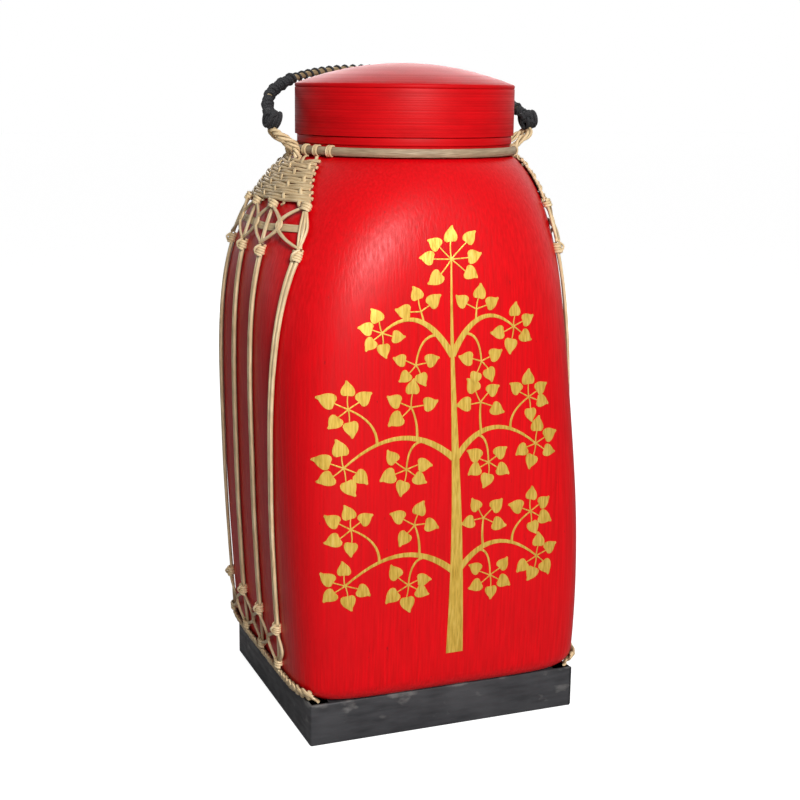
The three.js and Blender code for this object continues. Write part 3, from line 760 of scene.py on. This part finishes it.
def make_fan(side, word):
    bm = new_strands()
    surface = on_side(side)
    pitch = (FAN_TOP - FAN_BOTTOM) / (FAN_ROWS - 1)
    for row in range(FAN_ROWS):
        share = row / (FAN_ROWS - 1)
        height = FAN_BOTTOM + (FAN_TOP - FAN_BOTTOM) * share
        reach = FAN_REACH_BOTTOM + (FAN_REACH_TOP - FAN_REACH_BOTTOM) * share
        for ply in FAN_PLIES:
            points, lifts = [], []
            bend = chance.uniform(-0.5, 0.5) * MM
            for i in range(FAN_STATIONS):
                along = 2 * i / (FAN_STATIONS - 1) - 1
                points.append((along * reach, height + ply * pitch + bend * math.sin(3 * along)))
            for i in range((FAN_STATIONS - 1) * ROW_STEPS + 1):
                phase = math.pi * i / ROW_STEPS / 2 + row * math.pi
                lifts.append(LAID_GAP + 0.5 * MM + WEAVE_RISE * (1 + math.sin(phase)))
            lay_strand(bm, surface, points, lifts, FAN_STRAND, FAN_THICKNESS, ROW_STEPS)
    for index in range(FAN_STATIONS // 2):
        along = 2 * (2 * index + 1) / (FAN_STATIONS - 1) - 1
        points, lifts = [], []
        for row in range(-1, FAN_ROWS + 1):
            share = row / (FAN_ROWS - 1)
            reach = FAN_REACH_BOTTOM + (FAN_REACH_TOP - FAN_REACH_BOTTOM) * share
            points.append((along * reach, FAN_BOTTOM + (FAN_TOP - FAN_BOTTOM) * share))
        for i in range((len(points) - 1) * STAKE_STEPS + 1):
            phase = math.pi * i / STAKE_STEPS + index * math.pi
            lifts.append(LAID_GAP + STAKE_LIFT + STAKE_SWING * math.sin(phase))
        lay_strand(bm, surface, points, lifts, STAKE, STAKE_THICKNESS, STAKE_STEPS)
    finish_piece(f"woven_fan_{word}", bm, rattan, "body", [f"fan_weave_{word}"])

for side, word in SIDES:
    make_fan(side, word)

# %% Plait along the base
BAND_HEIGHT = 38 * MM
BAND_REACH = 90 * MM
BAND_STRAND = 3.6 * MM
BAND_THICKNESS = 2.5 * MM
BAND_SWING = 3.3 * MM
BAND_RISE = 0.75 * MM
BAND_WAVES = 11
PLIES = 3

def make_plait(side, word):
    bm = new_strands()
    stations = BAND_WAVES * 8
    for ply in range(PLIES):
        points, lifts = [], []
        for i in range(stations + 1):
            phase = 2 * math.pi * (i * BAND_WAVES / stations + ply / PLIES)
            depth = BAND_REACH * (2 * i / stations - 1)
            points.append((depth, BAND_HEIGHT + BAND_SWING * math.sin(phase)))
            lifts.append(LAID_GAP + BAND_RISE * (1 + math.sin(2 * phase)))
        lay_strand(bm, on_side(side), points, lifts, BAND_STRAND, BAND_THICKNESS, 1)
    finish_piece(f"plait_{word}", bm, rattan, "body", [f"plaited_band_{word}"])

for side, word in SIDES:
    make_plait(side, word)

# %% [markdown]
# ## Hoop, lashings and ears
# A bent cane hoop sits in the corner between neck and collar. The fan's strands are tied to it, and
# an ear of twisted strands stands up from it on each side to carry the handle.

# %% Hoop with its lashings
HOOP_WIDTH = 4.4 * MM
HOOP_HEIGHT = 6 * MM
HOOP_STEPS = 96
LASHING_STRAND, LASHING_THICKNESS = 1.8 * MM, 1.2 * MM
LASHING_ROOM = 0.5 * MM
LASHING_PITCH = 1.7 * MM
LASHING_TURNS = 2.6
LASHINGS = 7
LASHING_SPREAD = math.radians(29)
EAR_ROOM = math.radians(4)

def on_hoop(angle):
    out = Vector((math.cos(angle), math.sin(angle), 0))
    return Vector((BOX_CENTRE, 0, hoop_centre)) + out * hoop_radius, out

def make_hoop():
    bm = new_strands()
    stations = [on_hoop(2 * math.pi * i / HOOP_STEPS) for i in range(HOOP_STEPS + 1)]
    roll_strand(bm, [place for place, _ in stations], [out for _, out in stations],
                HOOP_HEIGHT, HOOP_WIDTH, 10, closed=True)
    return finish_piece("hoop_cane", bm, hoop_cane, "body", ["neck_hoop"])

def make_lashings(side, word):
    bm = new_strands()
    for i in range(LASHINGS):
        turn = LASHING_SPREAD * (2 * i / (LASHINGS - 1) - 1)
        if abs(turn) < EAR_ROOM:
            continue
        angle = turn if side > 0 else math.pi + turn
        place, out = on_hoop(angle)
        along = Vector((-out.y, out.x, 0))
        places, ups = wind(place, along, out, HOOP_HEIGHT / 2 + LASHING_ROOM,
                           HOOP_WIDTH / 2 + LASHING_ROOM, LASHING_PITCH, LASHING_TURNS)
        roll_strand(bm, places, ups, LASHING_STRAND, LASHING_THICKNESS, 6)
    return finish_piece(f"hoop_lashings_{word}", bm, rattan, "body")

hoop_low, hoop_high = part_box("neck_hoop")
hoop_centre = (hoop_low.z + hoop_high.z) / 2
hoop_radius = (hoop_high.y - hoop_low.y) / 2 - HOOP_WIDTH / 2
make_hoop()
for side, word in SIDES:
    make_lashings(side, word)

# %% Ears
EAR_OUT = 97 * MM
EAR_HALF = 9 * MM
EAR_STRAND = 2.5 * MM
EAR_TWIST = 1.5 * MM
EAR_PLIES = 3
HANDLE_AXIS = 421 * MM
KNOT_RADIUS = 7 * MM

def twisted(points, steps, radius, turns, ply, plies):
    """One ply of a twisted rope that follows the points."""
    route = smooth_route(points, steps)
    places, ups = [], []
    for i, place in enumerate(route):
        ahead = (route[min(i + 1, len(route) - 1)] - route[max(i - 1, 0)]).normalized()
        side_way = ahead.cross(Vector((0, 0.35, 1))).normalized()
        other = side_way.cross(ahead)
        angle = 2 * math.pi * (turns * i / (len(route) - 1) + ply / plies)
        out = side_way * math.cos(angle) + other * math.sin(angle)
        places.append(place + out * radius)
        ups.append(out)
    return places, ups

def make_ear(side, word):
    bm = new_strands()
    top = HANDLE_AXIS - KNOT_RADIUS - 1.5 * MM
    foot = hoop_radius + HOOP_WIDTH / 2 + 2.4 * MM
    leg = [(foot, EAR_HALF, hoop_centre - 5.5 * MM), (foot + 1.5 * MM, EAR_HALF, hoop_centre + 3 * MM),
           (EAR_OUT - 3 * MM, EAR_HALF - 2 * MM, top - 3 * MM)]
    route = leg + [(EAR_OUT, 0, top)] + [(x, -y, z) for x, y, z in reversed(leg)]
    points = [Vector((BOX_CENTRE + side * x, y, z)) for x, y, z in route]
    for ply in range(EAR_PLIES):
        places, ups = twisted(points, 8, EAR_TWIST, 3, ply, EAR_PLIES)
        roll_strand(bm, places, ups, EAR_STRAND, EAR_STRAND, 7)
    return finish_piece(f"twisted_ear_{word}", bm, rattan, "body", [f"ear_loop_{word}"])

for side, word in SIDES:
    make_ear(side, word)

# %% [markdown]
# ## The handle
# The handle is a stiff cane, bent to an arch and bound with black cord. The cord ends in lumpy
# knots at the ears, and the cane shows where the binding parts. A tube with a striped material
# would look smooth against the light, so the binding is one real winding.

# %% Bound handle
HANDLE_REACH = 90 * MM
HANDLE_LEAN = math.radians(68)
HANDLE_CANE = 4.4 * MM
BINDING = 2.7 * MM
BINDING_PITCH = 2.9 * MM
OPEN_BINDING = 1.8 * MM
OPEN_PITCH = 6.5 * MM
BINDING_RADIUS = 2.9 * MM
BINDING_LUMP = 0.9 * MM
TURN_STEPS = 11
ARCH_STEPS = 60
RUNS = ((0.0, 0.09, BINDING_PITCH), (0.11, 0.26, BINDING_PITCH), (0.255, 0.745, OPEN_PITCH),
        (0.74, 0.89, BINDING_PITCH), (0.91, 1.0, BINDING_PITCH))

def on_arch(t):
    start = math.asin((KNOT_RADIUS + 0.5 * MM) / HANDLE_REACH)
    angle = start + (math.pi - 2 * start) * t
    radial = Vector((-math.cos(angle) * EAR_OUT / HANDLE_REACH, math.sin(angle) * math.sin(HANDLE_LEAN),
                     math.sin(angle) * math.cos(HANDLE_LEAN)))
    return Vector((BOX_CENTRE, 0, HANDLE_AXIS)) + radial * HANDLE_REACH, radial.normalized()

def make_handle():
    bm = new_strands()
    stations = [on_arch(i / ARCH_STEPS) for i in range(ARCH_STEPS + 1)]
    places = [place for place, _ in stations]
    roll_strand(bm, places, [out for _, out in stations], HANDLE_CANE, HANDLE_CANE, 10)
    finish_piece("handle_cane", bm, rattan, "handle")
    arch_length = sum((second - first).length for first, second in zip(places, places[1:]))
    plane = Vector((0, -math.cos(HANDLE_LEAN), math.sin(HANDLE_LEAN)))
    bm = new_strands()
    for start, end, pitch in RUNS:
        turns = arch_length * (end - start) / pitch
        bound = pitch == BINDING_PITCH
        places, ups = [], []
        for i in range(round(turns * TURN_STEPS) + 1):
            t = start + (end - start) * i / round(turns * TURN_STEPS)
            centre, radial = on_arch(t)
            angle = 2 * math.pi * i / TURN_STEPS
            out = radial * math.cos(angle) + plane * math.sin(angle)
            lump = BINDING_LUMP * math.sin(i * 0.19) * math.sin(i * 0.071) if bound else 0
            places.append(centre + out * (BINDING_RADIUS + lump))
            ups.append(out)
        cord = BINDING if bound else OPEN_BINDING
        roll_strand(bm, places, ups, cord, cord * 0.9, 6)
    return finish_piece("handle_binding", bm, black_cord, "handle", ["handle_cord"])

CORD_KNOT_PITCH = 3 * MM
CORD_KNOT_STRAND, CORD_KNOT_THICKNESS = 3.3 * MM, 3.1 * MM

def make_handle_knot(side, word):
    bm = new_strands()
    centre = Vector((BOX_CENTRE + side * EAR_OUT, 0, HANDLE_AXIS - 1.5 * MM))
    for axis, up, width, tall, turns, start in (
            (Vector((side, 0, 0.25)), Vector((0, 0, 1)), 5.3, 5.2, 3.4, 0.4),
            (Vector((0.3 * side, 0.9, 0.4)), Vector((0, -0.3, 1)), 4.4, 5.6, 2.6, 1.6),
            (Vector((0.2 * side, 0.5, 1)), Vector((side, 0, 0)), 4.6, 4.4, 2.2, 2.4)):
        axis = axis.normalized()
        up = (up - axis * up.dot(axis)).normalized()
        places, ups = wind(centre, axis, up, width * MM, tall * MM, CORD_KNOT_PITCH, turns, 16, start)
        roll_strand(bm, places, ups, CORD_KNOT_STRAND, CORD_KNOT_THICKNESS, 7)
    return finish_piece(f"cord_knot_{word}", bm, black_cord, "handle",
                        [f"handle_knot_{word}"])

make_handle()
for side, word in SIDES:
    make_handle_knot(side, word)

# %% [markdown]
# ## The gold tree
# A tree with heart-shaped leaves is a traditional figure on such boxes. It is painted by hand, so
# it has a slight thickness and follows the bulge. We draw it by rule: a tapering trunk, three
# tiers of bowed branches, and round clusters of leaves at the ends of the twigs.

# %% Trunk and branches
PAINT_LIFT = 0.08 * MM
PAINT_THICKNESS = 0.3 * MM
TRUNK_FOOT, TRUNK_TOP = 60 * MM, 333 * MM
TRUNK_WIDTH = 14.5 * MM

def curve_points(start, bend, end, count=9):
    """Points on an even bow from start to end, pulled towards bend."""
    start, bend, end = Vector(start), Vector(bend), Vector(end)
    shares = [i / (count - 1) for i in range(count)]
    return [tuple((1 - t) ** 2 * start + 2 * t * (1 - t) * bend + t ** 2 * end) for t in shares]

def paint_stroke(bm, points, first_width, last_width, rate=1.0):
    count = len(points)
    widths = [last_width + (first_width - last_width) * (1 - i / (count - 1)) ** rate
              for i in range(count)]
    lay_strand(bm, on_front, points, PAINT_LIFT, widths, PAINT_THICKNESS, 1, 6)

def make_leaf(bm, foot, angle, length, curl):
    """A heart-shaped leaf with a drip tip, from its stem's end, laid on the front."""
    made = bmesh.ops.create_circle(bm, segments=18, radius=1, cap_ends=True)["verts"]
    face = made[0].link_faces[0]
    inner = bmesh.ops.inset_individual(bm, faces=[face], thickness=0.42)["faces"]
    bmesh.ops.poke(bm, faces=[face])
    verts = set(made)
    for item in inner:
        verts.update(item.verts)
    island = set()
    front = list(verts)
    while front:
        vert = front.pop()
        if vert not in island:
            island.add(vert)
            front += [edge.other_vert(vert) for edge in vert.link_edges]
    straight = bm.verts.layers.float_vector["straight"]
    for vert in island:
        out = min(math.hypot(vert.co.x, vert.co.y), 1)
        a = math.atan2(vert.co.y, vert.co.x)
        along = 0.5 + out * 0.5 * math.cos(a)
        tip = 0.2 * math.exp(-(a / 0.3) ** 2)
        notch = 0.12 * math.exp(-((math.pi - abs(a)) / 0.42) ** 2)
        along += out * (tip + notch)
        wide = out * 0.46 * math.sin(a) * (1 - 0.34 * math.cos(a))
        wide += curl * max(along - 0.7, 0) ** 2
        u = foot[0] + length * (along * math.cos(angle) - wide * math.sin(angle))
        v = foot[1] + length * (along * math.sin(angle) + wide * math.cos(angle))
        vert.co = on_front(u, v) + outwards(on_front, u, v) * (PAINT_LIFT + PAINT_THICKNESS)
        vert[straight] = (u, v, 0)
    faces = list({item for vert in island for item in vert.link_faces})
    edges = [edge for edge in {edge for item in faces for edge in item.edges} if edge.is_boundary]
    skirt = bmesh.ops.extrude_edge_only(bm, edges=edges)["geom"]
    for vert in [item for item in skirt if isinstance(item, bmesh.types.BMVert)]:
        u, v, _ = vert[straight]
        vert.co = on_front(u, v) - outwards(on_front, u, v) * 0.05 * MM
    rim = [item for item in skirt if isinstance(item, bmesh.types.BMEdge) and item.is_boundary]
    bmesh.ops.holes_fill(bm, edges=rim)

STEM = 7.2 * MM
LEAF = 10.5 * MM
LEAF_SPREAD = math.radians(72)
LEAF_CURL = 0.6
STEM_WIDTH, STEM_TIP = 1.1 * MM, 0.8 * MM

def paint_cluster(bm, hub, leaves, root, size=1.0, stem_scale=1.0):
    """Leaves round the end of a twig, with room left where the twig comes in from its root."""
    toward = math.atan2(root[1] - hub[1], root[0] - hub[0])
    step = min(2 * math.pi / (leaves + 1), LEAF_SPREAD)
    for i in range(leaves):
        angle = toward + math.pi + step * (i - (leaves - 1) / 2) + chance.uniform(-0.1, 0.1)
        stem = STEM * size * stem_scale * chance.uniform(0.85, 1.15)
        foot = (hub[0] + stem * math.cos(angle), hub[1] + stem * math.sin(angle))
        bend = ((hub[0] + foot[0]) / 2 - 0.8 * MM * math.sin(angle), (hub[1] + foot[1]) / 2)
        inside = (foot[0] + 2 * MM * math.cos(angle), foot[1] + 2 * MM * math.sin(angle))
        paint_stroke(bm, curve_points(hub, bend, inside, 4), STEM_WIDTH, STEM_TIP)
        turn = chance.uniform(-0.3, 0.3)
        length = LEAF * size * chance.uniform(0.92, 1.08)
        make_leaf(bm, foot, angle + turn, length, chance.choice((-LEAF_CURL, LEAF_CURL)))

BRANCH_BOW = 34 * MM
BRANCH_WIDTH, BRANCH_TIP = 5.4 * MM, 1.4 * MM
TWIG_WIDTH, TWIG_TIP = 2.1 * MM, 1.2 * MM

def trunk_at(height):
    share = (height - TRUNK_FOOT) / (TRUNK_TOP - TRUNK_FOOT)
    return (1 * MM + 2.5 * MM * math.sin(math.pi * share ** 1.4), height)

def paint_tier(bm, height, side, reach, lift, twigs, size):
    """One side of a tier. A twig has its share of the reach, its rise, its fork and its leaves."""
    start = trunk_at(height - 2 * MM)
    end = (side * reach, height + lift)
    bend = (side * reach * 0.45, height + BRANCH_BOW + lift / 4)
    branch = curve_points(start, bend, end, 15)
    paint_stroke(bm, branch, BRANCH_WIDTH, BRANCH_TIP)
    paint_cluster(bm, end, 5, branch[-2], size)
    for share, rise, fork, leaves in twigs:
        hub = (side * reach * share, height + rise)
        root = branch[fork]
        sideways = (hub[0] + root[0]) / 2 + side * 5 * MM
        if rise < lift:
            bow = (sideways, root[1] + 1 * MM)
        else:
            bow = (root[0] - side * 1 * MM, hub[1] - 9 * MM)
        twig = curve_points(root, bow, hub)
        paint_stroke(bm, twig, TWIG_WIDTH, TWIG_TIP)
        paint_cluster(bm, hub, leaves, twig[-2], size)

LOW_TIERS = ((120 * MM, 78 * MM, 63 * MM), (201 * MM, 75 * MM, 64 * MM))
LOW_TWIGS = [(0.93, 37 * MM, 10, 5), (0.36, 36 * MM, 5, 4), (0.43, -6 * MM, 4, 5)]
HIGH_TIER = 272 * MM
HIGH_TWIGS = [(0.42, 28 * MM, 6, 3), (0.5, -7 * MM, 3, 4)]

def make_tree():
    bm = new_strands()
    trunk = [trunk_at(TRUNK_FOOT + (TRUNK_TOP - TRUNK_FOOT) * i / 24) for i in range(25)]
    paint_stroke(bm, trunk, TRUNK_WIDTH, 1.2 * MM, 1.35)
    paint_cluster(bm, trunk[-1], 7, trunk[-2], 0.95, 1.75)
    for height, left, right in LOW_TIERS:
        paint_tier(bm, height, -1, left, -2 * MM, LOW_TWIGS, 1.0)
        paint_tier(bm, height, 1, right, 4 * MM, LOW_TWIGS, 0.95)
    paint_tier(bm, HIGH_TIER, -1, 46 * MM, 15 * MM, HIGH_TWIGS, 0.9)
    paint_tier(bm, HIGH_TIER, 1, 48 * MM, 15 * MM, HIGH_TWIGS, 0.9)
    return finish_piece("gold_tree", bm, gold_paint, "body")

make_tree()

# %% [markdown]
# ## Floor and light
# The box stands on plain white paper. One large soft lamp stands beside the camera, up and to the
# left, which leaves the laced left side in shade. A weak one fills that side, and one behind the
# box lights its back, which the photograph doesn't show.

# %% Stage
FLOOR_GLOW = 0.93
AMBIENT = 0.06
WHITE_FOR = ("Is Camera Ray", "Is Glossy Ray", "Is Transmission Ray")

def make_floor():
    bm = bmesh.new()
    bmesh.ops.create_grid(bm, x_segments=1, y_segments=1, size=12)
    mesh = bpy.data.meshes.new("floor")
    bm.to_mesh(mesh)
    bm.free()
    material, tree, shader = new_finish("white_paper")
    shader.inputs["Base Color"].default_value = (0.42, 0.42, 0.42, 1)
    shader.inputs["Roughness"].default_value = 0.9
    shader.inputs["Specular IOR Level"].default_value = 0.1
    path = node(tree, "ShaderNodeLightPath")
    glow = node(tree, "ShaderNodeMath", {0: path.outputs["Is Camera Ray"], 1: FLOOR_GLOW},
                operation="MULTIPLY")
    shader.inputs["Emission Color"].default_value = (1, 1, 1, 1)
    tree.links.new(glow.outputs["Value"], shader.inputs["Emission Strength"])
    mesh.materials.append(material)
    floor = bpy.data.objects.new("floor", mesh)
    bpy.context.scene.collection.objects.link(floor)

def make_world(ambient):
    world = bpy.data.worlds.new("studio")
    world.use_nodes = True
    bpy.context.scene.world = world
    tree = world.node_tree
    background = tree.nodes["Background"]
    background.inputs["Color"].default_value = (1, 1, 1, 1)
    path = node(tree, "ShaderNodeLightPath")
    white = path.outputs[WHITE_FOR[0]]
    for ray in WHITE_FOR[1:]:
        either = node(tree, "ShaderNodeMath", {0: white, 1: path.outputs[ray]}, operation="MAXIMUM")
        white = either.outputs["Value"]
    level = remapped(tree, white, 0, 1, ambient, 1.0)
    tree.links.new(level, background.inputs["Strength"])

def make_lamp(name, place, target, size, power):
    data = bpy.data.lights.new(name, "AREA")
    data.shape = "SQUARE"
    data.size = size
    data.energy = power
    lamp = bpy.data.objects.new(name, data)
    bpy.context.scene.collection.objects.link(lamp)
    lamp.location = place
    lamp.rotation_euler = (Vector(target) - Vector(place)).to_track_quat("-Z", "Y").to_euler()

make_floor()
make_world(AMBIENT)
make_lamp("key", (-0.2, -1.8, 1.1), (0, 0, 0.24), 0.5, 42)
make_lamp("fill", (-1.3, -1.6, 0.9), (0, 0, 0.25), 1.0, 0.3)
make_lamp("back", (0.7, 1.9, 1.0), (0, 0, 0.24), 1.0, 16)
bpy.context.scene.view_settings.view_transform = "Standard"
